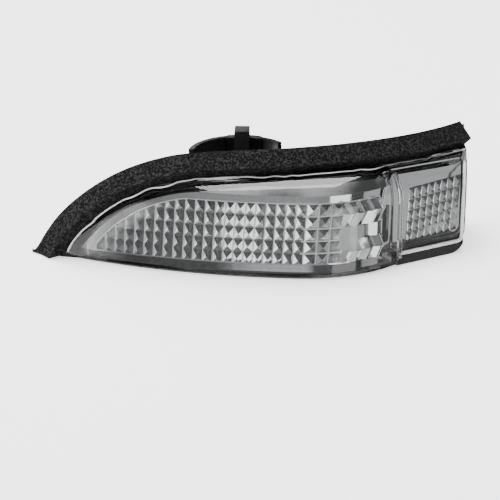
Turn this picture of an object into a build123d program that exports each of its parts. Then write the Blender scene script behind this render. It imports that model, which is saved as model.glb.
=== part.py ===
"""Side turn signal lamp of a door mirror: clear lens, reflector, black rear housing,
foam gasket along the top edge and breather patch.

Frame: millimetres, +Z up. The lens faces -Y, the tapered tip points to -X and the
wide end that wraps round the mirror points to +X. The flat base lies on Z = 0.
The origin is on the base, under the housing, in the middle of its length.

The shape hangs on three layout lines: the rear plan line, the front plan line and the
elevation of the top edge. Sections stand square to the rear plan line, and each piece
is a loft through such sections, measured outwards from that line (n) and up (z).
"""

import os
from math import acos, asin, cos, hypot, radians, sin, sqrt, tan

from build123d import *

# Rear plan line of the housing: two tangent arcs, seen from above
rear_vertex_x = 0.0
rear_vertex_y = 7.1
rear_radius_tip = 470.0
rear_radius_wrap = 98.0

# Front plan line of the lens: two tangent arcs, a crease, then a straight side
front_vertex_x = 18.8
front_vertex_y = -12.0
front_radius_tip = 231.0
front_radius_wrap = 53.5
crease_x = 56.7
side_step = 1.0
side_angle = 32.0

# Elevation of the top edge at the rear: a shallow crown that rolls into the nose
crown_height = 43.0
crown_x = 35.0
crown_radius = 570.0
nose_start_x = -18.0
nose_radius = 74.0

# Ends
tip_x = -79.6
lens_tip_x = -70.5
lens_hollow_tip_x = -62.0
end_x = 82.5
end_corner_radius = 5.5

# Seat of the gasket, and the parting face between housing and lens
parting = 5.8
seat_fall = 5.45

# Walls of the two shells, and the gap left by the weld between them
housing_wall = 2.3
lens_wall = 2.2
weld_gap = 0.1
lens_shoulder = 11.0
lens_foot_radius = 2.5
sill_height = 3.6

# Gasket strip
foam_thickness = 5.6
foam_end_x = 77.2
foam_tail_x = -82.5
foam_clearance = 0.3
adhesive = 0.1

# Reflector: a plate behind the lens, with its fields of pyramids
reflector_setback = 6.2
reflector_plate = 1.5
reflector_radius_tip = 268.0
reflector_top = 31.0
reflector_tip = (-63.5, 3.5)
reflector_bend = (-45.5, 21.6)
reflector_bend_end_x = -18.0
reflector_step_x = 50.0
reflector_clearance = 0.4
pyramid_height = 1.3
pyramid_pad = 0.2
field_bottom = 4.7
field_top = 28.2
field_tip = (-58.3, 5.3)
field_bend = (-45.3, 18.9)
field_bend_end_x = -23.0
row_start = 3.9
row_pitch = 4.93
row_count = 5
column_start = -77.8
column_pitch = 3.77
column_count = 21
column_lean = 3.5
wide_pitch = 4.65
wide_count = 3
side_start_margin = 6.4
side_pitch = 2.95
side_count = 8
side_row_start = 5.7
side_row_pitch = 4.32
side_slope = 3.3

# Plain facets beside the bulb: bands of leaning ridges, each with its bottom, top, lean
# in degrees and ridge pitches
facet_bands = (
    (4.7, 8.8, 24.0, (4.4, 4.6, 4.4, 4.4)),
    (8.8, 13.7, -24.0, (8.2, 6.0, 3.6)),
    (13.7, 18.9, 0.0, (6.8, 5.0, 6.0)),
    (18.9, 23.8, 32.0, (5.2, 5.0, 7.6)),
    (23.8, 28.2, -32.0, (4.6, 4.4, 4.4, 4.4)),
)

# Window in the reflector that lets the bulb's light out, beside the facets
window_start = 33.6
window_width = 3.2
window_bottom = 9.0
window_height = 15.0

# Bulb-holder boss: a short barrel on a slant, with a hood beside it
bore_radius = 7.95
boss_wall = 1.6
boss_length = 10.0
boss_x = 14.7
boss_y = 16.4
boss_z = 14.9
boss_angle = 35.0
hood_setback = 3.0
hood_depth = 13.0
hood_reach = 16.5
hood_rise = 16.0
hood_drop = 7.0
notch_depth = 0.9
notch_width = 3.2
key_angle = -28.0
key_size = 2.6

# Hollow beside the boss
hollow_x = -9.0
hollow_z = 19.8
hollow_length = 34.0
hollow_height = 20.0
hollow_depth = 3.0
hollow_tilt = 8.0

# Breather seat and patch
vent_x = -37.9
vent_z = 26.1
vent_patch_radius = 7.0
vent_patch_thickness = 0.4
vent_seat_depth = 0.8
vent_ring_width = 1.4
vent_ring_height = 0.9
vent_hole_radius = 1.6
vent_clearance = 0.15

# Posts that carry the reflector
post_places = ((-40.0, 13.0), (6.0, 8.0), (42.0, 28.0))
post_radius = 1.8
post_clearance = 0.4

# Spring arm with its snap nose
arm_root_x = -22.0
arm_crest_x = -6.0
arm_crest_y = 22.5
arm_free_x = 11.0
arm_free_y = 16.0
arm_thickness = 1.8
arm_bottom = 35.2
arm_height = 9.4
arm_pad_proud = 0.7
arm_pads = ((-9.2, -2.8), (-2.0, 3.8))
nose_x = -3.4
nose_width = 5.6
nose_rise = 3.8
nose_reach = 5.0
nose_foot = 5.0

# Small mouldings on the rear wall
rib_x = 38.1
rib_width = 2.4
rib_bottom = 10.5
rib_height = 9.0
rib_proud = 2.2
pad_x = -64.5
pad_z = 6.4
pad_length = 9.0
pad_height = 5.2
pad_proud = 0.6
slot_x = 72.0
slot_z = 34.6
slot_length = 7.5
slot_height = 2.8

# Height and depth of the construction blocks, well past the lamp
sky = 80.0

side_run = Vector(cos(radians(side_angle)), sin(radians(side_angle)), 0)
side_normal = Vector(side_run.Y, -side_run.X, 0)
crease_angle = asin((crease_x - front_vertex_x) / front_radius_wrap)
crease_y = front_vertex_y + front_radius_wrap * (1 - cos(crease_angle))
crease_point = Vector(crease_x, crease_y, 0)
side_start = crease_point - side_normal * side_step
tip_centre = Vector(front_vertex_x, front_vertex_y + front_radius_tip, 0)
back_inset = reflector_setback + reflector_plate
reflector_face_radius = reflector_radius_tip + reflector_setback
reflector_tip_centre = Vector(front_vertex_x, front_vertex_y + reflector_face_radius, 0)
front_wrap_centre = Vector(front_vertex_x, front_vertex_y + front_radius_wrap, 0)
wrap_centre = Vector(rear_vertex_x, rear_vertex_y + rear_radius_wrap, 0)
crease_ray = crease_point - wrap_centre
crease_station = wrap_centre.X + rear_radius_wrap * crease_ray.X / crease_ray.length

nose_joint = asin((crown_x - nose_start_x) / crown_radius)
nose_centre_x = nose_start_x + nose_radius * sin(nose_joint)
nose_centre_z = crown_height - crown_radius + (crown_radius - nose_radius) * cos(nose_joint)


def rear_angle(x):
    """Angle of the rear plan line at x, in radians."""
    radius = rear_radius_tip if x < rear_vertex_x else rear_radius_wrap
    return asin((x - rear_vertex_x) / radius)


def rear_y(x):
    radius = rear_radius_tip if x < rear_vertex_x else rear_radius_wrap
    return rear_vertex_y + radius * (1 - cos(rear_angle(x)))


def outward(x):
    """Unit vector square to the rear line at x, towards the lens."""
    angle = rear_angle(x)
    return Vector(sin(angle), -cos(angle), 0)


def station(x):
    """Plane square to the rear line at x: its X runs towards the lens and its Y is up."""
    direction = outward(x)
    return Plane(origin=(x, rear_y(x), 0), x_dir=direction, z_dir=direction.cross(Vector(0, 0, 1)))


def rear_plane(x, z, depth=0.0):
    """Plane on the rear wall at x and z, sunk by depth, facing rearwards."""
    direction = outward(x)
    origin = Vector(x, rear_y(x), z) + direction * depth
    return Plane(origin=origin, x_dir=direction.cross(Vector(0, 0, 1)), z_dir=-direction)


def arch_height(x):
    """Height of the top edge at x."""
    if x < nose_start_x:
        return nose_centre_z + sqrt(nose_radius**2 - (x - nose_centre_x) ** 2)
    return crown_height - crown_radius + sqrt(crown_radius**2 - (x - crown_x) ** 2)


def arch_angle(x):
    if x < nose_start_x:
        return asin((nose_centre_x - x) / nose_radius)
    return asin((crown_x - x) / crown_radius)


def seat_drop(x):
    """Height that the gasket seat loses from the rear line to the parting face."""
    angle = arch_angle(x)
    return seat_fall / cos(angle) - parting * sin(rear_angle(x)) * tan(angle)


def seat_height(x, n, depth=0.0):
    """Height of the seat, or of the plane that lies depth under it, at n."""
    slope = seat_drop(x) / parting
    steep = sqrt(1 + slope**2 + tan(arch_angle(x)) ** 2)
    return arch_height(x) - slope * n - depth * steep


def reach_to_circle(origin, direction, centre, radius):
    offset = origin - centre
    along = offset.dot(direction)
    return sqrt(along**2 - offset.dot(offset) + radius**2) - along


def main_reach(x, inset=0.0):
    """Distance from the rear line to the main lens face, less inset."""
    origin = Vector(x, rear_y(x), 0)
    direction = outward(x)
    reach = reach_to_circle(origin, direction, tip_centre, front_radius_tip - inset)
    if (origin + direction * reach).X > front_vertex_x:
        reach = reach_to_circle(origin, direction, front_wrap_centre, front_radius_wrap - inset)
    return reach


def back_reach(x):
    """Distance from the rear line to the back of the reflector."""
    origin = Vector(x, rear_y(x), 0)
    direction = outward(x)
    back_radius = reflector_radius_tip - reflector_plate
    reach = reach_to_circle(origin, direction, reflector_tip_centre, back_radius)
    if (origin + direction * reach).X > front_vertex_x:
        back_radius = front_radius_wrap - back_inset
        reach = reach_to_circle(origin, direction, front_wrap_centre, back_radius)
    return reach


def side_reach(x, inset=0.0):
    """Distance from the rear line to the side lens face, less inset."""
    origin = Vector(x, rear_y(x), 0)
    gap = (side_start - origin).dot(side_normal) - inset
    return gap / outward(x).dot(side_normal)


def spaced(first, last, count):
    return [first + (last - first) * step / (count - 1) for step in range(count)]


def lofted(section, places):
    """Solid through one section at each place along the rear line."""
    with BuildPart() as body:
        loft(sections=[section(place) for place in places])
    return body.part


def elevation_block(left_x, right_x, inset=0.0, foot=0.0):
    """Block along Y with the lamp's elevation: flat base and round wide-end corner."""
    corner = end_corner_radius - inset
    floor = inset + foot
    with BuildPart() as block:
        with BuildSketch(Plane.XZ):
            with BuildLine():
                Line((left_x, floor), (right_x - corner, floor))
                TangentArc((right_x - corner, floor), (right_x, floor + corner), tangent=(1, 0))
                Polyline((right_x, floor + corner), (right_x, sky), (left_x, sky), (left_x, floor))
            make_face()
        extrude(amount=2 * sky, both=True)
    return block.part


def housing_section(x):
    with BuildSketch(station(x)) as section:
        with BuildLine():
            Polyline(
                (0, -sky),
                (0, arch_height(x)),
                (parting, seat_height(x, parting)),
                (parting, -sky),
                close=True,
            )
        make_face()
    return section.sketch


def housing_inner_section(x):
    mouth = parting + boss_length
    with BuildSketch(station(x)) as section:
        with BuildLine():
            Polyline(
                (housing_wall, -sky),
                (housing_wall, seat_height(x, housing_wall, housing_wall)),
                (mouth, seat_height(x, mouth, housing_wall)),
                (mouth, -sky),
                close=True,
            )
        make_face()
    return section.sketch


def lens_profile(x, reach, wall=0.0):
    """Lens section down to below the base: seat line, round shoulder and upright face."""
    top = seat_height(x, parting)
    width = reach - parting
    radius = (width**2 + lens_shoulder**2) / (2 * width)
    start = parting + weld_gap if wall == 0 else parting - 1
    centre_n = reach - radius
    centre_z = top - lens_shoulder
    face = reach - wall
    arc = radius - wall
    end_angle = acos((start - centre_n) / arc)
    start_z = centre_z + arc * sin(end_angle)
    with BuildSketch(station(x)) as section:
        with BuildLine():
            ThreePointArc(
                (start, start_z),
                (centre_n + arc * cos(end_angle / 2), centre_z + arc * sin(end_angle / 2)),
                (face, centre_z),
            )
            Polyline((face, centre_z), (face, -sky), (start, -sky), (start, start_z))
        make_face()
    return section.sketch


def main_lens_section(x):
    return lens_profile(x, main_reach(x))


def main_lens_inner_section(x):
    return lens_profile(x, main_reach(x), lens_wall)


def side_lens_section(x):
    return lens_profile(x, side_reach(x))


def side_lens_inner_section(x):
    return lens_profile(x, side_reach(x), lens_wall)


def foam_section(x):
    lean = foam_thickness * seat_fall / hypot(parting, seat_fall)
    with BuildSketch(station(x)) as section:
        with BuildLine():
            Polyline(
                (0, seat_height(x, 0, -adhesive)),
                (parting, seat_height(x, parting, -adhesive)),
                (parting + lean, seat_height(x, parting + lean, -foam_thickness)),
                (lean, seat_height(x, lean, -foam_thickness)),
                close=True,
            )
        make_face()
    return section.sketch


def nose_block(tip, bend, bend_end_x, foot, top):
    """Block along Y with a level foot and top, and an arc from tip through bend to the top."""
    with BuildPart() as block:
        with BuildSketch(Plane.XZ):
            with BuildLine():
                ThreePointArc(tip, bend, (bend_end_x, top))
                Polyline((bend_end_x, top), (end_x, top), (end_x, foot), (tip[0], foot), tip)
            make_face()
        extrude(amount=2 * sky, both=True)
    return block.part


def on_arc(centre, radius, angle):
    """Point on an arc about centre, at an angle from its foremost point."""
    return centre + Vector(sin(angle), -cos(angle), 0) * radius


def tip_place(distance, inset):
    """Plan point on the tip side, at a distance along the reflector from the front vertex."""
    angle = distance / reflector_radius_tip
    return on_arc(reflector_tip_centre, reflector_face_radius - inset, angle)


def wrap_place(distance, inset):
    """Plan point on the wrap side, at a distance along the reflector from the front vertex."""
    angle = distance / (front_radius_wrap - reflector_setback)
    return on_arc(front_wrap_centre, front_radius_wrap - inset, angle)


def side_place(distance, inset):
    """Plan point on the side, at a distance along the reflector from the crease."""
    return side_start + side_run * distance - side_normal * inset


def zigzag(start, pitches):
    """Marks from valley to crest to valley: pairs of a place and a height from 0 to 1."""
    marks = [(start, 0.0)]
    for pitch in pitches:
        marks.append((start + pitch / 2, 1.0))
        start += pitch
        marks.append((start, 0.0))
    return marks


def ridge_outline(place, marks, shift):
    """Plan outline of upright ridges towards the lens, moved along by shift."""
    valley = reflector_setback - pyramid_pad
    root = reflector_setback + reflector_plate / 2
    face = [place(mark + shift, valley - rise * pyramid_height) for mark, rise in marks]
    back = [place(mark + shift, root) for mark, rise in reversed(marks)]
    return face + back


def upright_ridges(place, start, pitches, foot=0.0, top=None, lean=column_lean):
    """Block of ridges that lean along the reflector on their way up from foot to top."""
    top = field_top if top is None else top
    marks = zigzag(start, pitches)
    rise = tan(radians(lean))
    with BuildPart() as ridges:
        for height in (foot, top):
            with BuildSketch(Plane.XY.offset(height)):
                with BuildLine():
                    Polyline(*ridge_outline(place, marks, height * rise), close=True)
                make_face()
        loft(ruled=True)
    return ridges.part


def level_outline(foot, heights):
    """Section of level ridges: pairs of an inset behind the lens face and a height."""
    valley = reflector_setback - pyramid_pad
    root = reflector_setback + reflector_plate
    marks = zigzag(foot, heights)
    outline = [(valley - rise * pyramid_height, z) for z, rise in marks]
    return outline + [(root, marks[-1][0]), (root, foot)]


def turned_ridges(centre, radius, foot, heights):
    """Ring of level ridges about an upright axis, for the curved part of the reflector."""
    outline = [(radius - inset, z) for inset, z in level_outline(foot, heights)]
    with BuildPart() as ridges:
        with BuildSketch(Plane(origin=centre, x_dir=(0, 1, 0), z_dir=(1, 0, 0))):
            with BuildLine():
                Polyline(*outline, close=True)
            make_face()
        revolve(axis=Axis(centre, (0, 0, 1)))
    return ridges.part


def straight_ridges(foot, heights):
    """Bar of ridges along the side, rising a little towards the wide end."""
    outline = [(-inset, z) for inset, z in level_outline(foot, heights)]
    slope = radians(side_slope)
    climb = side_run * cos(slope) + Vector(0, 0, sin(slope))
    with BuildPart() as ridges:
        with BuildSketch(Plane(origin=side_start, x_dir=side_normal, z_dir=-climb)):
            with BuildLine():
                Polyline(*outline, close=True)
            make_face()
        extrude(amount=sky, both=True)
    return ridges.part


def polar(radius, angle):
    return (radius * cos(radians(angle)), radius * sin(radians(angle)))


def arm_strip(width, left_x, right_x):
    """Piece of the spring arm between two places, width thick."""
    with BuildPart() as strip:
        with BuildSketch(Plane.XY.offset(arm_bottom)):
            with BuildLine():
                ThreePointArc(arm_root, (arm_crest_x, arm_crest_y), (arm_free_x, arm_free_y))
            trace(line_width=width)
            with Locations(((left_x + right_x) / 2, 0)):
                Rectangle(right_x - left_x, 2 * sky, mode=Mode.INTERSECT)
        extrude(amount=arm_height)
    return strip.part


def sill_section(x):
    reach = side_reach(x)
    with BuildSketch(station(x)) as section:
        with BuildLine():
            Polyline(
                (housing_wall / 2, -sky),
                (housing_wall / 2, sill_height),
                (reach, sill_height),
                (reach, -sky),
                close=True,
            )
        make_face()
    return section.sketch


def hood_corners(wall):
    """Hood profile in the boss plane, wall inside its outline."""
    return [
        (0, wall - hood_drop),
        (wall - hood_reach, wall - hood_drop),
        (wall - hood_reach, hood_rise - wall),
        (-wall, hood_rise - wall),
        (boss_wall + bore_radius - wall, bore_radius - wall),
    ]


def reflector_outline(inset, end_distance):
    """Corner points of the reflector plan at an inset: tip, tip arc, vertex, wrap arc, side."""
    reach = reflector_face_radius - inset
    tip_angle = asin((reflector_tip[0] - front_vertex_x) / reach)
    return [
        on_arc(reflector_tip_centre, reach, tip_angle),
        on_arc(reflector_tip_centre, reach, tip_angle / 2),
        on_arc(reflector_tip_centre, reach, 0),
        on_arc(front_wrap_centre, front_radius_wrap - inset, crease_angle / 2),
        on_arc(front_wrap_centre, front_radius_wrap - inset, crease_angle),
        side_place(0, inset),
        side_place(end_distance, inset),
    ]


def runs_along_foot(edge):
    """True for the long edges between the base and the main lens face."""
    middle = edge.position_at(0.5)
    low = middle.Z < weld_gap
    ahead = rear_y(middle.X) - middle.Y > parting + lens_foot_radius
    return low and ahead and edge.length > lens_foot_radius * 2


# Lens: the main face and the side face, hollow and open at the parting face
main_places = spaced(lens_tip_x, crease_station, 18)
side_places = spaced(crease_station, end_x, 7)
inner_places = spaced(lens_hollow_tip_x, crease_station - lens_wall, 18)
side_inner_places = spaced(crease_station - 2 * lens_wall, end_x, 6)
main_ends = elevation_block(lens_tip_x, end_x)
side_ends = elevation_block(lens_tip_x, end_x, foot=sill_height)
main_inner_ends = elevation_block(lens_hollow_tip_x, end_x - lens_wall, lens_wall)
side_inner_ends = elevation_block(lens_tip_x, end_x - lens_wall, lens_wall, sill_height)

with BuildPart() as main_hollow:
    add(lofted(main_lens_inner_section, inner_places))
    add(main_inner_ends, mode=Mode.INTERSECT)

with BuildPart() as side_hollow:
    add(lofted(side_lens_inner_section, side_inner_places))
    add(side_inner_ends, mode=Mode.INTERSECT)

with BuildPart() as side_cover:
    add(lofted(side_lens_section, side_places))
    add(side_ends, mode=Mode.INTERSECT)

with BuildPart() as main_cover:
    add(lofted(main_lens_section, main_places))
    add(main_ends, mode=Mode.INTERSECT)
    fillet(main_cover.edges().filter_by(runs_along_foot), lens_foot_radius)

with BuildPart() as lens:
    add(main_cover.part)
    add(side_cover.part)
    add(main_hollow.part, mode=Mode.SUBTRACT)
    add(side_hollow.part, mode=Mode.SUBTRACT)

# Gasket: a strip on the sloped seat, cut square at the wide end and level at the tip
shell_places = spaced(foam_tail_x, end_x + 2, 18)
with BuildPart() as foam_gasket:
    add(lofted(foam_section, shell_places))
    split(bisect_by=station(foam_end_x), keep=Keep.TOP)
    split(bisect_by=Plane.XY.offset(foam_clearance), keep=Keep.TOP)

# Reflector: the plate, then the fields that stand on it
reflector_end_x = end_x - lens_wall - reflector_clearance
side_length = (reflector_end_x - side_place(0, reflector_setback).X) / side_run.X
front_line = reflector_outline(reflector_setback, side_length)
back_line = reflector_outline(back_inset, side_length)
with BuildPart() as plate:
    with BuildSketch(Plane.XY):
        with BuildLine():
            ThreePointArc(front_line[0], front_line[1], front_line[2])
            ThreePointArc(front_line[2], front_line[3], front_line[4])
            Polyline(front_line[4], front_line[5], front_line[6], back_line[6], back_line[5])
            Line(back_line[5], back_line[4])
            ThreePointArc(back_line[4], back_line[3], back_line[2])
            ThreePointArc(back_line[2], back_line[1], back_line[0])
            Line(back_line[0], front_line[0])
        make_face()
    extrude(amount=sky)
    add(
        nose_block(
            reflector_tip,
            reflector_bend,
            reflector_bend_end_x,
            lens_wall + reflector_clearance,
            reflector_top,
        ),
        mode=Mode.INTERSECT,
    )
    # The window is cut beside the crease
    window_middle = wrap_place(window_start + window_width / 2, reflector_setback)
    window_out = (window_middle - front_wrap_centre).normalized()
    window_z = window_bottom + window_height / 2
    with BuildSketch(Plane(origin=window_middle + Vector(0, 0, window_z), z_dir=window_out)):
        RectangleRounded(window_width, window_height, window_width / 3)
    extrude(amount=reflector_plate * 2, both=True, mode=Mode.SUBTRACT)

field_block = nose_block(field_tip, field_bend, field_bend_end_x, field_bottom, field_top)
main_rows = [row_pitch] * row_count
main_end = column_start + column_count * column_pitch
wide_end = main_end + wide_count * wide_pitch
with BuildPart() as main_field:
    add(upright_ridges(tip_place, column_start, [column_pitch] * column_count))
    add(
        turned_ridges(reflector_tip_centre, reflector_face_radius, row_start, main_rows),
        mode=Mode.INTERSECT,
    )
    add(field_block, mode=Mode.INTERSECT)

with BuildPart() as wide_field:
    add(upright_ridges(wrap_place, main_end, [wide_pitch] * wide_count))
    add(
        turned_ridges(front_wrap_centre, front_radius_wrap, row_start, main_rows),
        mode=Mode.INTERSECT,
    )
    add(field_block, mode=Mode.INTERSECT)

with BuildPart() as facet_field:
    for foot, top, lean, pitches in facet_bands:
        begin = wide_end - (foot + top) / 2 * tan(radians(lean))
        add(upright_ridges(wrap_place, begin, pitches, foot, top, lean))

with BuildPart() as side_field:
    add(upright_ridges(side_place, side_start_margin, [side_pitch] * side_count, top=reflector_top))
    add(straight_ridges(side_row_start, [side_row_pitch] * row_count), mode=Mode.INTERSECT)

# Room that the side leaves free: over the sill, round the corner and short of the end
side_foot = sill_height + lens_wall + reflector_clearance
side_corner = end_corner_radius - lens_wall - reflector_clearance
corner_start = (reflector_end_x - side_corner, side_foot)
corner_end = (reflector_end_x, side_foot + side_corner)
with BuildPart() as side_cut:
    with BuildSketch(Plane.XZ):
        with BuildLine():
            TangentArc(corner_start, corner_end, tangent=(1, 0))
            Polyline(corner_end, (reflector_end_x, sky), (2 * sky, sky), (2 * sky, -sky))
            Polyline((2 * sky, -sky), (reflector_step_x, -sky), (reflector_step_x, side_foot))
            Line((reflector_step_x, side_foot), corner_start)
        make_face()
    extrude(amount=2 * sky, both=True)

with BuildPart() as reflector:
    add(plate.part)
    add(main_field.part)
    add(wide_field.part)
    add(facet_field.part)
    add(side_field.part)
    add(side_cut.part, mode=Mode.SUBTRACT)

# Boss plane: seen from the rear its X runs to the tip side and its Y is up
boss_turn = radians(boss_angle)
boss_plane = Plane(
    origin=(boss_x, boss_y, boss_z),
    x_dir=(-cos(boss_turn), -sin(boss_turn), 0),
    z_dir=(-sin(boss_turn), cos(boss_turn), 0),
)
boss_radius = bore_radius + boss_wall

with BuildPart() as shell_outer:
    add(lofted(housing_section, shell_places))
    add(elevation_block(tip_x, end_x), mode=Mode.INTERSECT)

hollow_places = spaced(tip_x, end_x + 2, 18)
with BuildPart() as shell_hollow:
    add(lofted(housing_inner_section, hollow_places))
    add(
        elevation_block(tip_x + housing_wall, end_x - housing_wall, housing_wall),
        mode=Mode.INTERSECT,
    )

# Sill: the low black wall in front of the side face
sill_places = spaced(crease_station, end_x, 7)
with BuildPart() as sill:
    loft(sections=[sill_section(x) for x in sill_places])
    add(elevation_block(tip_x, end_x), mode=Mode.INTERSECT)

hollow_plane = rear_plane(hollow_x, hollow_z)
with BuildPart() as hollow_cut:
    with BuildSketch(hollow_plane.offset(-hollow_depth)):
        Ellipse(hollow_length / 2, hollow_height / 2, rotation=-hollow_tilt)
    extrude(amount=sky)

with BuildPart() as hollow_wall:
    with BuildSketch(hollow_plane.offset(-hollow_depth - housing_wall)):
        Ellipse(
            hollow_length / 2 + housing_wall,
            hollow_height / 2 + housing_wall,
            rotation=-hollow_tilt,
        )
    extrude(amount=sky)
    add(shell_outer.part, mode=Mode.INTERSECT)

vent_plane = rear_plane(vent_x, vent_z)
seat_radius = vent_patch_radius + vent_clearance
arm_root = Vector(arm_root_x, rear_y(arm_root_x) - housing_wall / 2)
with BuildPart() as arm:
    add(arm_strip(arm_thickness, -sky, sky))
    # Two pads thicken the arm on both faces
    for pad_left, pad_right in arm_pads:
        add(arm_strip(arm_thickness + 2 * arm_pad_proud, pad_left, pad_right))
    # The nose stands on the arm, towards the housing
    with BuildSketch(Plane.XY.offset(arm_bottom + nose_foot)):
        with Locations((nose_x, arm_crest_y + arm_thickness / 2)):
            Rectangle(nose_width, nose_reach + arm_thickness, align=(Align.CENTER, Align.MAX))
    extrude(amount=arm_height + nose_rise - nose_foot)
    add(foam_gasket.part, mode=Mode.SUBTRACT)

with BuildPart() as rear_housing:
    add(shell_outer.part)
    with BuildSketch(boss_plane.offset(-hood_setback)):
        Polygon(*hood_corners(0), align=None)
    extrude(amount=-hood_depth)
    add(shell_hollow.part, mode=Mode.SUBTRACT)
    with BuildSketch(boss_plane.offset(-hood_setback - housing_wall)):
        Polygon(*hood_corners(housing_wall), align=None)
    extrude(amount=-hood_depth, mode=Mode.SUBTRACT)
    add(hollow_wall.part)
    add(hollow_cut.part, mode=Mode.SUBTRACT)
    add(sill.part)
    add(arm.part)
    with BuildSketch(boss_plane):
        Circle(boss_radius)
        with Locations(polar(boss_radius, key_angle)):
            Rectangle(key_size, key_size, rotation=key_angle)
    extrude(amount=-boss_length)
    with BuildSketch(boss_plane):
        Circle(bore_radius)
        with PolarLocations(bore_radius, 3, start_angle=key_angle):
            Rectangle(2 * notch_depth, notch_width)
    extrude(amount=-sky / 4, mode=Mode.SUBTRACT)
    # Breather seat: a raised ring, a flat sunk seat and the vent hole
    with BuildSketch(vent_plane.offset(-housing_wall / 2)):
        Circle(seat_radius + vent_ring_width)
    extrude(amount=housing_wall / 2 + vent_ring_height)
    with BuildSketch(vent_plane.offset(-vent_seat_depth)):
        Circle(seat_radius)
    extrude(amount=sky / 8, mode=Mode.SUBTRACT)
    with BuildSketch(vent_plane):
        Circle(vent_hole_radius)
    extrude(amount=-2 * housing_wall, mode=Mode.SUBTRACT)
    # Posts inside, up to the back of the reflector
    for post_x, post_z in post_places:
        post_length = back_reach(post_x) - post_clearance
        with BuildSketch(rear_plane(post_x, post_z, housing_wall / 2)):
            Circle(post_radius)
        extrude(amount=housing_wall / 2 - post_length)
    # Rib, pad and slot on the rear wall
    with BuildSketch(rear_plane(rib_x, rib_bottom + rib_height / 2, housing_wall / 2)):
        Rectangle(rib_width, rib_height)
    extrude(amount=housing_wall / 2 + rib_proud)
    with BuildSketch(rear_plane(pad_x, pad_z, housing_wall / 2)):
        Rectangle(pad_length, pad_height)
    extrude(amount=housing_wall / 2 + pad_proud)
    with BuildSketch(rear_plane(slot_x, slot_z, -housing_wall)):
        SlotOverall(slot_length, slot_height)
    extrude(amount=-3 * housing_wall, mode=Mode.SUBTRACT)

with BuildPart() as vent_patch:
    with BuildSketch(vent_plane.offset(-vent_seat_depth)):
        Circle(vent_patch_radius)
    extrude(amount=vent_patch_thickness)

os.makedirs("parts", exist_ok=True)
rear_housing.part.label = "rear_housing"
export_step(rear_housing.part, "parts/rear_housing.step")
reflector.part.label = "reflector"
export_step(reflector.part, "parts/reflector.step")
lens.part.label = "lens"
export_step(lens.part, "parts/lens.step")
foam_gasket.part.label = "foam_gasket"
export_step(foam_gasket.part, "parts/foam_gasket.step")
vent_patch.part.label = "vent_patch"
export_step(vent_patch.part, "parts/vent_patch.step")
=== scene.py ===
# %% [markdown]
# # A mirror turn signal lamp
#
# The lamp is a clear cover over a metallised reflector, in a black moulded housing, with a
# foam strip along its top edge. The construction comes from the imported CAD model, at the
# size that was estimated for it. This notebook gives every piece its finish, models the
# pieces that need more than a finish, and sets up the camera and the light.

# %% Load the frame
from math import pi, radians, sqrt

import bmesh
import bpy
from mathutils import Matrix, Vector


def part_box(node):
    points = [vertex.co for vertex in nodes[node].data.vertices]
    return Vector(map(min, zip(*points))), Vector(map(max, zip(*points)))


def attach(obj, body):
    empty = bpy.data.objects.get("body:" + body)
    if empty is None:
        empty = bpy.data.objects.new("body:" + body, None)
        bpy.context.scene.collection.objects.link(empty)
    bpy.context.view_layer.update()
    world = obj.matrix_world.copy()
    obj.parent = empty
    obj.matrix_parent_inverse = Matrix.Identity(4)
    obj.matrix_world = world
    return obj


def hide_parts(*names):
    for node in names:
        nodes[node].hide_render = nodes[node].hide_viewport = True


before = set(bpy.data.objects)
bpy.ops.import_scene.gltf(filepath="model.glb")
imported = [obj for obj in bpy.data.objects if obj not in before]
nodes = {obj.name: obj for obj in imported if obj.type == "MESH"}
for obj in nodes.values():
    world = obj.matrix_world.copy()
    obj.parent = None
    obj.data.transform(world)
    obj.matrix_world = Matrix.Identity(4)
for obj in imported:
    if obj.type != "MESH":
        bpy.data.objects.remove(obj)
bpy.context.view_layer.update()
MM = 0.001
for name, node in sorted(nodes.items()):
    print(f"{name}: {len(node.data.polygons)} triangles")


def deselect_all():
    bpy.ops.object.select_all(action="DESELECT")


def pick(piece):
    """Select one piece alone and make it the active one."""
    deselect_all()
    piece.select_set(True)
    bpy.context.view_layer.objects.active = piece


deselect_all()

# %% [markdown]
# ## Camera
#
# The photo looks down on the lamp at about 22 degrees, from some 85 cm away. A camera could
# be placed by eye, but then the outlines never quite agree. Here its place, its three angles
# and its focal length were fitted together with the lamp's size, so that the lamp's outline
# falls on the photo's outline.

# %% Place the camera
PICTURE_WIDTH = 500
FOCAL_PIXELS = 2264.35
SENSOR_WIDTH = 36.0
CAMERA_PLACE = Vector((23.665, -789.053, 332.235)) * MM
CAMERA_YAW = 0.0292
CAMERA_PITCH = 0.3907
CAMERA_ROLL = 0.0098

camera_data = bpy.data.cameras.new("camera")
camera_data.sensor_width = SENSOR_WIDTH
camera_data.lens = FOCAL_PIXELS * SENSOR_WIDTH / PICTURE_WIDTH
camera = bpy.data.objects.new("camera", camera_data)
bpy.context.scene.collection.objects.link(camera)
yaw_turn = Matrix.Rotation(CAMERA_YAW, 4, "Z")
pitch_turn = Matrix.Rotation(pi / 2 - CAMERA_PITCH, 4, "X")
roll_turn = Matrix.Rotation(CAMERA_ROLL, 4, "Z")
camera.matrix_world = Matrix.Translation(CAMERA_PLACE) @ yaw_turn @ pitch_turn @ roll_turn
bpy.context.scene.camera = camera
print(f"camera lens {camera_data.lens:.1f} mm")

# %% [markdown]
# ## Material helpers
#
# Every finish here is a Principled shader with a little variation. Values that are the same
# all over a surface are set on the shader itself, and only what changes over the surface
# is linked.


# %% Start a material
def new_material(name, base, roughness, **sockets):
    """A material with one Principled shader, and its plain values set on it."""
    material = bpy.data.materials.new(name)
    material.use_nodes = True
    shader = material.node_tree.nodes["Principled BSDF"]
    shader.inputs["Base Color"].default_value = (*base, 1)
    shader.inputs["Roughness"].default_value = roughness
    for socket, value in sockets.items():
        shader.inputs[socket.replace("_", " ")].default_value = value
    return material, shader


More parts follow.
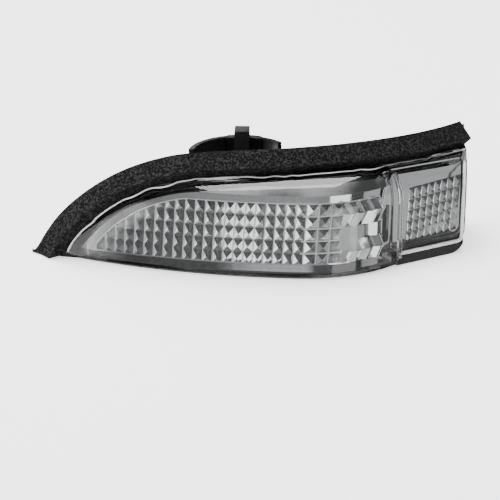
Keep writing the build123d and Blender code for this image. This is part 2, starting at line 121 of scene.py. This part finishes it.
def dress(piece, material):
    """Give a piece one material on all its faces."""
    piece.data.materials.clear()
    piece.data.materials.append(material)


# %% Join two values in a node tree
def add_math(tree, operation, first, second):
    """A Math node on a linked value and on a second value that is linked or plain."""
    node = tree.nodes.new("ShaderNodeMath")
    node.operation = operation
    tree.links.new(first, node.inputs[0])
    if isinstance(second, (int, float)):
        node.inputs[1].default_value = second
    else:
        tree.links.new(second, node.inputs[1])
    return node.outputs["Value"]


# %% [markdown]
# ## Grain
#
# Moulded plastic, foam and the breather patch all show a fine irregular surface. Each could
# have its own noise, but one node group serves them all: a noise for the surface height and
# a coarser noise for the slow change of gloss that comes from handling and from the mould.


# %% Build the grain group
def build_grain_group():
    """A node group with two scales going in, and a height and a cloud coming out."""
    group = bpy.data.node_groups.new("fine_grain", "ShaderNodeTree")
    sockets = group.interface
    sockets.new_socket("Grain Scale", in_out="INPUT", socket_type="NodeSocketFloat")
    sockets.new_socket("Cloud Scale", in_out="INPUT", socket_type="NodeSocketFloat")
    sockets.new_socket("Height", in_out="OUTPUT", socket_type="NodeSocketFloat")
    sockets.new_socket("Cloud", in_out="OUTPUT", socket_type="NodeSocketFloat")
    start = group.nodes.new("NodeGroupInput")
    end = group.nodes.new("NodeGroupOutput")
    place = group.nodes.new("ShaderNodeTexCoord")
    grain = group.nodes.new("ShaderNodeTexNoise")
    grain.inputs["Detail"].default_value = 3
    cloud = group.nodes.new("ShaderNodeTexNoise")
    cloud.inputs["Detail"].default_value = 4
    group.links.new(place.outputs["Object"], grain.inputs["Vector"])
    group.links.new(place.outputs["Object"], cloud.inputs["Vector"])
    group.links.new(start.outputs["Grain Scale"], grain.inputs["Scale"])
    group.links.new(start.outputs["Cloud Scale"], cloud.inputs["Scale"])
    group.links.new(grain.outputs["Fac"], end.inputs["Height"])
    group.links.new(cloud.outputs["Fac"], end.inputs["Cloud"])
    return group


grain_group = build_grain_group()
print(f"{grain_group.name}: {len(grain_group.nodes)} nodes")

# %% Use the grain in a material
# A noise stays near its middle, so what lies between these two values of it is spread
# over the whole range of roughness.
NOISE_LOW = 0.35
NOISE_HIGH = 0.65


def add_grain(material, grain_scale, cloud_scale):
    """Place the grain group in a material, with its own scales."""
    node = material.node_tree.nodes.new("ShaderNodeGroup")
    node.node_tree = grain_group
    node.inputs["Grain Scale"].default_value = grain_scale
    node.inputs["Cloud Scale"].default_value = cloud_scale
    return node


def add_bump(material, shader, height, strength, distance):
    """Bump the surface by a height output."""
    bump = material.node_tree.nodes.new("ShaderNodeBump")
    bump.inputs["Strength"].default_value = strength
    bump.inputs["Distance"].default_value = distance
    material.node_tree.links.new(height, bump.inputs["Height"])
    material.node_tree.links.new(bump.outputs["Normal"], shader.inputs["Normal"])
    return bump


def vary_gloss(material, shader, grain, low, high):
    """Let the roughness drift between low and high with the grain group's cloud."""
    node = material.node_tree.nodes.new("ShaderNodeMapRange")
    node.inputs["From Min"].default_value = NOISE_LOW
    node.inputs["From Max"].default_value = NOISE_HIGH
    node.inputs["To Min"].default_value = low
    node.inputs["To Max"].default_value = high
    material.node_tree.links.new(grain.outputs["Cloud"], node.inputs["Value"])
    material.node_tree.links.new(node.outputs["Result"], shader.inputs["Roughness"])


# %% [markdown]
# ## Copies of CAD pieces
#
# A CAD mesh is loose triangles. Where a piece needs smooth shading or more detail, it could
# be modelled anew, but then it might leave its place. A copy is safer: it is merged, shaded
# smooth up to its real edges, and stands for the node.

# %% Copy a CAD node as one smooth skin
MERGE_DISTANCE = 0.002 * MM


def smooth_copy(node_name, copy_name, angle):
    """A merged copy of a CAD node, shaded smooth where its faces meet at less than angle."""
    mesh = nodes[node_name].data.copy()
    mesh.name = copy_name
    piece = bpy.data.objects.new(copy_name, mesh)
    bpy.context.scene.collection.objects.link(piece)
    pick(piece)
    if mesh.has_custom_normals:
        bpy.ops.mesh.customdata_custom_splitnormals_clear()
    bpy.ops.object.mode_set(mode="EDIT")
    bpy.ops.mesh.select_all(action="SELECT")
    bpy.ops.mesh.remove_doubles(threshold=MERGE_DISTANCE)
    bpy.ops.object.mode_set(mode="OBJECT")
    bpy.ops.object.shade_smooth_by_angle(angle=radians(angle))
    return piece


# %% Keep a copy in place of its node
def stand_for(piece, node_name):
    """Let a finished copy replace its CAD node on the root body."""
    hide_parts(node_name)
    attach(piece, "root")
    print(f"{piece.name}: {len(piece.data.polygons)} faces")


# %% [markdown]
# ## Housing
#
# The housing is one moulding in black plastic, and its CAD form is complete, so it only
# needs its finish. It has a low gloss, with a soft change of gloss over the wall and a very
# fine grain.

# %% Finish the housing
housing_plastic, shader = new_material("housing_plastic", (0.01, 0.01, 0.011), 0.26)
grain = add_grain(housing_plastic, grain_scale=2600, cloud_scale=60)
add_bump(housing_plastic, shader, grain.outputs["Height"], 0.12, 0.04 * MM)
vary_gloss(housing_plastic, shader, grain, 0.2, 0.34)
dress(nodes["rear_housing"], housing_plastic)

# %% [markdown]
# ## Reflector
#
# The reflector is a plastic moulding with a thin aluminium coat, put on in a vacuum. It is
# almost a mirror, and a faint haze keeps the pyramids from looking like polished steel. Its
# plate ends in returns that fill the gap to the lens: a roof that slopes back to the rim,
# steep on the side, and a foot that runs forward under the field. They are extruded from
# the border of the plate, so that they follow its curve.

# %% Find the top rim of the lens
RIM_STEP = 2.5 * MM


def find_rim(node_name):
    """The highest corner of a node in each short length of it, from the tip to the wide end."""
    highest = {}
    for vertex in nodes[node_name].data.vertices:
        place = nodes[node_name].matrix_world @ vertex.co
        length = round(place.x / RIM_STEP)
        if length not in highest or place.z > highest[length].z:
            highest[length] = place
    return [highest[length] for length in sorted(highest)]


lens_rim = find_rim("lens")
print(f"the rim of the lens has {len(lens_rim)} points")


def nearest_rim(place):
    return min(lens_rim, key=lambda corner: (corner.xy - place.xy).length)


# %% Extrude a border of the plate
FRONT_NORMAL_Y = -0.3
UPRIGHT_NORMAL_Z = 0.1


def extrude_border(piece, is_border):
    """Extrude the border edges that is_border picks, and give back the new corners."""
    pick(piece)
    bpy.ops.object.mode_set(mode="EDIT")
    bpy.ops.mesh.select_mode(type="EDGE")
    bpy.ops.mesh.select_all(action="DESELECT")
    shape = bmesh.from_edit_mesh(piece.data)
    for edge in shape.edges:
        if len(edge.link_faces) == 2 and is_border(edge):
            edge.select_set(True)
    bmesh.update_edit_mesh(piece.data)
    bpy.ops.mesh.extrude_edges_move()
    bpy.ops.object.mode_set(mode="OBJECT")
    return [vertex for vertex in piece.data.vertices if vertex.select]


def faces_front(face):
    return face.normal.y < FRONT_NORMAL_Y and abs(face.normal.z) < UPRIGHT_NORMAL_Z


def front_edge(edge):
    """True where just one of the two faces is on the front of the plate."""
    return faces_front(edge.link_faces[0]) != faces_front(edge.link_faces[1])


# %% Model the returns of the reflector
# The roof goes this share of the way back and up to the rim, on the main face and the side.
REFLECTOR_SMOOTH = 8
ROOF_TOP = 30.95 * MM
ROOF_BACK = 0.7
ROOF_RISE = 0.42
SIDE_START_X = 50.5 * MM
SIDE_BACK = 0.12
SIDE_RISE = 0.9
FOOT_LEVEL = 2.65 * MM
FOOT_FORWARD = 3.2 * MM
PLATE_RADIUS = 268 * MM
PLATE_CENTRE = Vector((18.8, 262.2, 0)) * MM

reflector_skin = smooth_copy("reflector", "reflector_skin", REFLECTOR_SMOOTH)


def on_roof(edge):
    return front_edge(edge) and all(corner.co.z > ROOF_TOP for corner in edge.verts)


def on_foot(edge):
    return front_edge(edge) and all(corner.co.z < FOOT_LEVEL for corner in edge.verts)


for vertex in extrude_border(reflector_skin, on_roof):
    to_rim = nearest_rim(vertex.co) - vertex.co
    on_the_side = vertex.co.x > SIDE_START_X
    back = SIDE_BACK if on_the_side else ROOF_BACK
    rise = SIDE_RISE if on_the_side else ROOF_RISE
    vertex.co += Vector((to_rim.x * back, to_rim.y * back, to_rim.z * rise))
for vertex in extrude_border(reflector_skin, on_foot):
    out = (vertex.co - PLATE_CENTRE) * Vector((1, 1, 0))
    vertex.co += out.normalized() * FOOT_FORWARD


# %% Part the shading of faces that are wound against each other
# The roof over the side field is wound the other way than the roof beside it. A corner that
# they share would take one of their two normals, and which one differs from run to run.
def part_opposed_faces(piece):
    """Make an edge sharp where its two faces are wound against each other."""
    shape = bmesh.new()
    shape.from_mesh(piece.data)
    for edge in shape.edges:
        if edge.is_manifold and not edge.is_contiguous:
            edge.smooth = False
    shape.to_mesh(piece.data)
    shape.free()


part_opposed_faces(reflector_skin)

# %% Lean the pyramids of the tip side
# In the photo the left faces of these pyramids are narrow, so their crests lean that way.
LEAN_START = 0.15 * MM
LEAN_SHARE = 0.1
FIELD_END_X = 1.6 * MM


def lean_pyramids(piece):
    """Move each crest towards the tip, by a share of how proud of the plate it stands."""
    for vertex in piece.data.vertices:
        out = vertex.co - PLATE_CENTRE
        out.z = 0
        proud = out.length - PLATE_RADIUS
        if proud > LEAN_START and vertex.co.x < FIELD_END_X:
            along = Vector((-out.y, out.x, 0)).normalized()
            vertex.co -= along * (proud - LEAN_START) * LEAN_SHARE


lean_pyramids(reflector_skin)

# %% Draw flow streaks on the returns
# The photo shows long streaks of light above and below the field. A noise that is stretched
# along the lamp bumps the coat there, and two height masks keep it off the pyramids.
STREAK_SCALE = (14, 420, 420)
STREAK_HEIGHT = 26
STREAK_MARGIN = 0.2 * MM


def add_streaks(material, above, below):
    """Long streaks of height on what lies above one level or below another."""
    tree = material.node_tree
    place = tree.nodes.new("ShaderNodeTexCoord")
    stretch = tree.nodes.new("ShaderNodeMapping")
    stretch.inputs["Scale"].default_value = STREAK_SCALE
    tree.links.new(place.outputs["Object"], stretch.inputs["Vector"])
    noise = tree.nodes.new("ShaderNodeTexNoise")
    noise.inputs["Scale"].default_value = 1.0
    noise.inputs["Detail"].default_value = 2
    tree.links.new(stretch.outputs["Vector"], noise.inputs["Vector"])
    parts = tree.nodes.new("ShaderNodeSeparateXYZ")
    tree.links.new(place.outputs["Object"], parts.inputs["Vector"])
    high = add_math(tree, "GREATER_THAN", parts.outputs["Z"], above + STREAK_MARGIN)
    low = add_math(tree, "LESS_THAN", parts.outputs["Z"], below - STREAK_MARGIN)
    where = add_math(tree, "ADD", high, low)
    height = add_math(tree, "MULTIPLY", noise.outputs["Fac"], where)
    return add_math(tree, "MULTIPLY", height, STREAK_HEIGHT)


# %% Finish the reflector
# The Bevel node rounds the look of every sharp crest and valley a little.
EDGE_ROUND = 0.06 * MM
EDGE_SAMPLES = 6
reflector_coat, shader = new_material("reflector_coat", (0.72, 0.725, 0.73), 0.09, Metallic=1.0)
grain = add_grain(reflector_coat, grain_scale=900, cloud_scale=90)
streaks = add_streaks(reflector_coat, ROOF_TOP, FOOT_LEVEL)
height = add_math(reflector_coat.node_tree, "ADD", grain.outputs["Height"], streaks)
bump = add_bump(reflector_coat, shader, height, 0.05, 0.03 * MM)
soft_edge = reflector_coat.node_tree.nodes.new("ShaderNodeBevel")
soft_edge.samples = EDGE_SAMPLES
soft_edge.inputs["Radius"].default_value = EDGE_ROUND
reflector_coat.node_tree.links.new(soft_edge.outputs["Normal"], bump.inputs["Normal"])
vary_gloss(reflector_coat, shader, grain, 0.05, 0.1)
dress(reflector_skin, reflector_coat)
stand_for(reflector_skin, "reflector")

# %% [markdown]
# ## Lens
#
# The cover is clear plastic, a little over 2 mm thick. A thin sheet with a see-through
# finish would be simpler, but light bends at both faces of the real one, so the piece is
# kept as one closed skin with smooth shading and an index of refraction.

# %% Make and finish the lens
LENS_SMOOTH = 30
PLASTIC_IOR = 1.49
lens_cover = smooth_copy("lens", "lens_cover", LENS_SMOOTH)
clear_plastic, shader = new_material(
    "clear_plastic", (0.97, 0.975, 0.98), 0.015, IOR=PLASTIC_IOR, Transmission_Weight=1.0
)
grain = add_grain(clear_plastic, grain_scale=700, cloud_scale=45)
vary_gloss(clear_plastic, shader, grain, 0.008, 0.03)
dress(lens_cover, clear_plastic)
stand_for(lens_cover, "lens")

# %% [markdown]
# ## Bright edges of the lens
#
# Light runs inside the clear plastic and comes out at its moulded edges, so they shine
# white in the photo: a thin weld bead along the rim, a broad edge round the end and over the
# sill, and a rounded ridge where the main face meets the side. A render finds little of
# that light, so each edge is a round bead along a smooth curve. The first two have a white
# finish that is a painted highlight for that light, and the ridge has the clear plastic of
# the lens.

# %% Draw an edge as a tube
TUBE_STEPS = 8
TUBE_ROUNDNESS = 3


def tube(name, points, radius):
    """A smooth tube through points in metres, as a mesh."""
    curve = bpy.data.curves.new(name, "CURVE")
    curve.dimensions = "3D"
    spline = curve.splines.new("NURBS")
    spline.points.add(len(points) - 1)
    for point, place in zip(spline.points, points):
        point.co = (*place, 1)
    spline.order_u = 3
    spline.use_endpoint_u = True
    spline.resolution_u = TUBE_STEPS
    curve.bevel_depth = radius
    curve.bevel_resolution = TUBE_ROUNDNESS
    curve.use_fill_caps = True
    piece = bpy.data.objects.new(name, curve)
    bpy.context.scene.collection.objects.link(piece)
    pick(piece)
    bpy.ops.object.convert(target="MESH")
    bpy.ops.object.shade_smooth()
    print(f"{name}: {len(piece.data.polygons)} faces")
    return piece


# %% Model the bead along the rim
REAR_RADIUS_TIP = 470 * MM
REAR_RADIUS_WRAP = 98 * MM
MOST_ACROSS = 0.86
BEAD_RADIUS = 0.34 * MM
BEAD_OUT = 0.3 * MM
BEAD_DOWN = Vector((0, 0, -0.15)) * MM


def outward(place):
    """Unit vector square to the rear of the lamp, towards the lens."""
    radius = REAR_RADIUS_TIP if place.x < 0 else REAR_RADIUS_WRAP
    across = min(place.x / radius, MOST_ACROSS)
    return Vector((across, -sqrt(1 - across**2), 0))


bead_line = [place + outward(place) * BEAD_OUT + BEAD_DOWN for place in lens_rim]
rim_bead = tube("rim_bead", bead_line, BEAD_RADIUS)

# %% Model the edge round the end of the side
# The edge follows the sill, turns up at the end, and leans back to the rim at its top.
EDGE_RADIUS = 0.75 * MM
SIDE_START = Vector((56.17, 4.59, 0)) * MM
SIDE_RUN = Vector((0.84805, 0.52992, 0))
EDGE_START = 0.6 * MM
EDGE_END = 29.6 * MM
EDGE_CORNER = 4.4 * MM
EDGE_LOW = 4.8 * MM
EDGE_HIGH = 25 * MM
SHOULDER_LOW = 31.5 * MM
SHOULDER_BACK = Vector((0, 2, 0)) * MM
SHOULDER_HIGH = Vector((81.5, 28, 35.2)) * MM
UNDER_RIM = Vector((-1, 0, -0.5)) * MM


def on_side(along, height):
    """A point on the side face of the lens."""
    return SIDE_START + SIDE_RUN * along + Vector((0, 0, height))


edge_line = [
    on_side(EDGE_START, EDGE_LOW),
    on_side(EDGE_END - EDGE_CORNER, EDGE_LOW),
    on_side(EDGE_END, EDGE_LOW),
    on_side(EDGE_END, EDGE_LOW + EDGE_CORNER),
    on_side(EDGE_END, EDGE_HIGH),
    on_side(EDGE_END, SHOULDER_LOW) + SHOULDER_BACK,
    SHOULDER_HIGH,
    lens_rim[-1] + UNDER_RIM,
]
side_edge = tube("side_edge", edge_line, EDGE_RADIUS)

# %% Model the ridge on the crease
# The points are in millimetres. The last two follow the shoulder of the lens.
RIDGE_RADIUS = 1.1 * MM
RIDGE_POINTS = (
    (56.9, 3.5, 3.9),
    (56.9, 3.5, 15),
    (56.9, 3.5, 25),
    (56.6, 4.2, 31.5),
    (54.2, 8.6, 35.6),
)
ridge_line = [Vector(point) * MM for point in RIDGE_POINTS]
crease_ridge = tube("crease_ridge", ridge_line, RIDGE_RADIUS)

# %% Finish the bright edges
# The white finish of the rim bead and the side edge is a painted highlight for the light that
# leaves the lens at its edges.
edge_painted_highlight, shader = new_material(
    "edge_painted_highlight", (0.93, 0.94, 0.94), 0.18, IOR=PLASTIC_IOR, Transmission_Weight=0.35
)
grain = add_grain(edge_painted_highlight, grain_scale=900, cloud_scale=120)
vary_gloss(edge_painted_highlight, shader, grain, 0.1, 0.3)
dress(rim_bead, edge_painted_highlight)
dress(side_edge, edge_painted_highlight)
dress(crease_ridge, clear_plastic)
for piece in (rim_bead, side_edge, crease_ridge):
    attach(piece, "root")

# %% [markdown]
# ## Bright seams of the reflector
#
# In the photo a thin scalloped white line runs round the field of pyramids, fine lines run
# up its valleys, and bolder ones part the wide cells by the bulb. They are probably where
# small rounded valleys of the moulding catch the light. Lines could be painted by a mask,
# but here they are edges of the reflector's own mesh, thickened to round beads, so they
# show in the exported mesh too.

# %% Tell the cells from the plate
CELL_FOOT = 0.3 * MM
CELL_RISE = 0.35 * MM
WRAP_RADIUS = 47.3 * MM
WRAP_CENTRE = Vector((18.8, 41.5, 0)) * MM


def proud_of_plate(place):
    """How far a point stands in front of the main plate."""
    wrapped = place.x > WRAP_CENTRE.x
    centre = WRAP_CENTRE if wrapped else PLATE_CENTRE
    radius = WRAP_RADIUS if wrapped else PLATE_RADIUS
    return (place.xy - centre.xy).length - radius


def is_cell(face):
    """True for a facet of a cell, which rises well above the cell's foot."""
    return any(proud_of_plate(corner.co) > CELL_RISE for corner in face.verts)


def on_cell_foot(edge):
    return all(abs(proud_of_plate(corner.co)) < CELL_FOOT for corner in edge.verts)


# %% Pick the seams
CELLS_FROM_X = 19.8 * MM
CELLS_TO_X = 36.2 * MM


def beside_low_face(edge):
    """True where a facet meets a low face: the plate, or the floor of an upright valley."""
    low = min(corner.co.z for corner in edge.verts)
    high = max(corner.co.z for corner in edge.verts)
    if low < FOOT_LEVEL or high > ROOF_TOP or not on_cell_foot(edge):
        return False
    return is_cell(edge.link_faces[0]) != is_cell(edge.link_faces[1])


def between_cells(edge):
    """True in a valley between two of the wide cells by the bulb."""
    middle = (edge.verts[0].co + edge.verts[1].co) / 2
    if not CELLS_FROM_X < middle.x < CELLS_TO_X or not on_cell_foot(edge):
        return False
    return is_cell(edge.link_faces[0]) and is_cell(edge.link_faces[1])


# %% Lay the seams
SEAM_RADIUS = 0.2 * MM
CELL_SEAM_RADIUS = 0.27 * MM


def seams(name, is_seam, radius):
    """Round beads along the reflector's edges that is_seam picks."""
    mesh = reflector_skin.data.copy()
    piece = bpy.data.objects.new(name, mesh)
    bpy.context.scene.collection.objects.link(piece)
    shape = bmesh.new()
    shape.from_mesh(mesh)
    shape.normal_update()
    kept = {edge for edge in shape.edges if len(edge.link_faces) == 2 and is_seam(edge)}
    bmesh.ops.delete(shape, geom=list(shape.faces), context="FACES_ONLY")
    loose = [edge for edge in shape.edges if edge not in kept]
    bmesh.ops.delete(shape, geom=loose, context="EDGES")
    lone = [corner for corner in shape.verts if not corner.link_edges]
    bmesh.ops.delete(shape, geom=lone, context="VERTS")
    shape.to_mesh(mesh)
    shape.free()
    pick(piece)
    bpy.ops.object.convert(target="CURVE")
    piece = bpy.context.object
    piece.data.bevel_depth = radius
    piece.data.bevel_resolution = 1
    piece.data.use_fill_caps = True
    bpy.ops.object.convert(target="MESH")
    bpy.ops.object.shade_smooth()
    piece = bpy.context.object
    print(f"{name}: {len(piece.data.polygons)} faces")
    return piece


field_seam = seams("field_seam", beside_low_face, SEAM_RADIUS)
cell_seams = seams("cell_seams", between_cells, CELL_SEAM_RADIUS)

# %% Finish the seams
# The real seams don't glow. The faint emission only makes them as bright as in the photo.
# The white finish and its faint glow are a painted highlight where the coated valleys catch the
# light.
seam_painted_highlight, shader = new_material(
    "seam_painted_highlight", (0.98, 0.985, 0.99), 0.3, Emission_Strength=0.3
)
shader.inputs["Emission Color"].default_value = (1, 1, 1, 1)
grain = add_grain(seam_painted_highlight, grain_scale=900, cloud_scale=140)
vary_gloss(seam_painted_highlight, shader, grain, 0.22, 0.4)
for piece in (field_seam, cell_seams):
    dress(piece, seam_painted_highlight)
    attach(piece, "root")

# %% [markdown]
# ## Foam strip
#
# The strip is open foam, cut from a sheet and glued down, so it is neither crowned nor
# sewn and needs no cloth simulation. Its long edges are soft, and its skin is a charcoal
# sponge with lighter cell walls. The plain strip is merged, its flat faces are joined and
# cut again into short even lengths, and its long edges are rounded with a bevel.

# %% Model the foam strip
FOAM_SMOOTH = 30
FOAM_FLAT = 1.5
FOAM_SLICES = 160
foam_strip = smooth_copy("foam_gasket", "foam_strip", FOAM_SMOOTH)
foam_low, foam_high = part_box("foam_gasket")
bpy.ops.object.mode_set(mode="EDIT")
bpy.ops.mesh.select_all(action="SELECT")
bpy.ops.mesh.dissolve_limited(angle_limit=radians(FOAM_FLAT))
for slice_index in range(1, FOAM_SLICES):
    share = slice_index / FOAM_SLICES
    cut_x = foam_low.x + (foam_high.x - foam_low.x) * share
    bpy.ops.mesh.select_all(action="SELECT")
    bpy.ops.mesh.bisect(plane_co=(cut_x, 0, 0), plane_no=(1, 0, 0))
bpy.ops.object.mode_set(mode="OBJECT")

# %% Round its long edges
edge_round = foam_strip.modifiers.new("edge_round", "BEVEL")
edge_round.width = 0.35 * MM
edge_round.segments = 3
edge_round.limit_method = "ANGLE"
edge_round.angle_limit = radians(45)
bpy.ops.object.modifier_apply(modifier=edge_round.name)
bpy.ops.object.shade_smooth_by_angle(angle=radians(40))

# %% Finish the foam
CELL_DARK = (0.003, 0.003, 0.003, 1)
CELL_LIGHT = (0.026, 0.026, 0.0265, 1)
foam_sponge, shader = new_material(
    "foam_sponge", (0.012, 0.012, 0.012), 1.0, Specular_IOR_Level=0.12
)
grain = add_grain(foam_sponge, grain_scale=1250, cloud_scale=260)
add_bump(foam_sponge, shader, grain.outputs["Height"], 0.7, 0.2 * MM)
flecks = foam_sponge.node_tree.nodes.new("ShaderNodeValToRGB")
dark_end, light_end = flecks.color_ramp.elements
dark_end.position = 0.46
dark_end.color = CELL_DARK
light_end.position = 0.66
light_end.color = CELL_LIGHT
foam_sponge.node_tree.links.new(grain.outputs["Height"], flecks.inputs["Fac"])
foam_sponge.node_tree.links.new(flecks.outputs["Color"], shader.inputs["Base Color"])
dress(foam_strip, foam_sponge)
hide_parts("foam_gasket")
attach(foam_strip, "root")
print(f"foam_strip: {len(foam_strip.data.polygons)} faces")

# %% [markdown]
# ## Breather patch
#
# A thin round membrane lets the lamp breathe. It is a dull fabric with a fine texture, flat
# in its seat, so the CAD disc keeps its form and only gets its finish.

# %% Finish the patch
membrane, shader = new_material("membrane", (0.022, 0.022, 0.024), 0.7)
grain = add_grain(membrane, grain_scale=2200, cloud_scale=300)
add_bump(membrane, shader, grain.outputs["Height"], 0.5, 0.1 * MM)
vary_gloss(membrane, shader, grain, 0.55, 0.8)
dress(nodes["vent_patch"], membrane)

# %% [markdown]
# ## Floor and light
#
# The photo has a white ground and even studio light. A wide pale floor takes the lamp's
# soft shadow. The facets of the reflector are small mirrors, so what stands around the
# lamp decides how they look. The floor is hidden from reflections, and neither it nor the
# softboxes are seen through the lens. The facets see a drawn studio instead: a bright wall
# on the left, a pale ground, a soft roof and a grey front, with the right side left dark.
# The strengths were tuned against the photo. Two of the softboxes show in the gloss
# of the housing and of the outside of the lens.

# %% Lay the floor
FLOOR_SIZE = 6.0
deselect_all()
bpy.ops.mesh.primitive_plane_add(size=FLOOR_SIZE, location=(0, 0, 0))
floor = bpy.context.object
floor.name = "floor"
floor.visible_glossy = False
floor.visible_transmission = False
floor_paint, shader = new_material("floor_paint", (0.93, 0.93, 0.93), 0.8, Emission_Strength=1.1)
shader.inputs["Emission Color"].default_value = (1, 1, 1, 1)
dress(floor, floor_paint)

# %% Hang the softboxes
LAMP_MIDDLE = Vector((0, 0, 20)) * MM


def softbox(name, place, size, power, in_gloss=False):
    """A square area light at a place in millimetres, turned towards the lamp."""
    data = bpy.data.lights.new(name, "AREA")
    data.shape = "SQUARE"
    data.size = size
    data.energy = power
    light = bpy.data.objects.new(name, data)
    bpy.context.scene.collection.objects.link(light)
    light.location = Vector(place) * MM
    aim = LAMP_MIDDLE - light.location
    light.rotation_euler = aim.to_track_quat("-Z", "Y").to_euler()
    light.visible_glossy = in_gloss
    light.visible_transmission = False
    return light


softbox("key_left", (-1100, -500, 500), size=0.6, power=22)
softbox("overhead", (0, 200, 1100), size=0.8, power=26, in_gloss=True)
softbox("behind", (-350, 950, 650), size=0.5, power=7, in_gloss=True)
softbox("fill_right", (1000, -900, 800), size=0.4, power=6)


# %% Stand two cards by the wide end
def card(name, place, size, turn, strength):
    """A glowing card in millimetres that only reflections and the lens can see."""
    deselect_all()
    bpy.ops.mesh.primitive_plane_add(size=1, location=Vector(place) * MM, rotation=turn)
    piece = bpy.context.object
    piece.name = name
    piece.scale = (size[0] * MM, size[1] * MM, 1)
    glow, shader = new_material(f"{name}_glow", (0, 0, 0), 1.0, Emission_Strength=strength)
    shader.inputs["Emission Color"].default_value = (1, 1, 1, 1)
    dress(piece, glow)
    piece.visible_camera = False
    piece.visible_diffuse = False
    piece.visible_shadow = False
    return piece


card("card_right", (112, 2, -5), size=(90, 80), turn=(0, pi / 2, 0), strength=0.6)
card("card_front", (82, -62, -12), size=(42, 70), turn=(pi / 2, 0, 0), strength=2.4)

# %% Build the studio around the lamp
# Each wall has a direction, the two cosines between which it fades in, and its strength.
STUDIO_WALLS = (
    ((-1.0, -0.1, -0.1), 0.64, 0.8, 2.8),
    ((0.0, 0.0, -1.0), 0.84, 0.98, 1.0),
    ((0.0, 0.2, 0.98), 0.86, 0.99, 0.75),
    ((0.0, -0.97, 0.25), 0.955, 0.985, 0.8),
    ((-0.5, 0.5, 0.7), 0.84, 0.97, 0.8),
    ((0.0, -0.92, -0.39), 0.75, 1.0, 0.35),
)
STUDIO_BASE = 0.08


def build_studio(world):
    """A dark room whose walls are soft patches of light, each round its own direction."""
    world.use_nodes = True
    tree = world.node_tree
    place = tree.nodes.new("ShaderNodeTexCoord")
    total = STUDIO_BASE
    for direction, fade_from, fade_to, strength in STUDIO_WALLS:
        facing = tree.nodes.new("ShaderNodeVectorMath")
        facing.operation = "DOT_PRODUCT"
        facing.inputs[1].default_value = Vector(direction).normalized()
        tree.links.new(place.outputs["Generated"], facing.inputs[0])
        fade = tree.nodes.new("ShaderNodeMapRange")
        fade.interpolation_type = "SMOOTHSTEP"
        fade.inputs["From Min"].default_value = fade_from
        fade.inputs["From Max"].default_value = fade_to
        fade.inputs["To Max"].default_value = strength
        tree.links.new(facing.outputs["Value"], fade.inputs["Value"])
        total = add_math(tree, "ADD", fade.outputs["Result"], total)
    background = tree.nodes["Background"]
    background.inputs["Color"].default_value = (1, 1, 1, 1)
    tree.links.new(total, background.inputs["Strength"])


world = bpy.data.worlds.new("studio")
bpy.context.scene.world = world
build_studio(world)
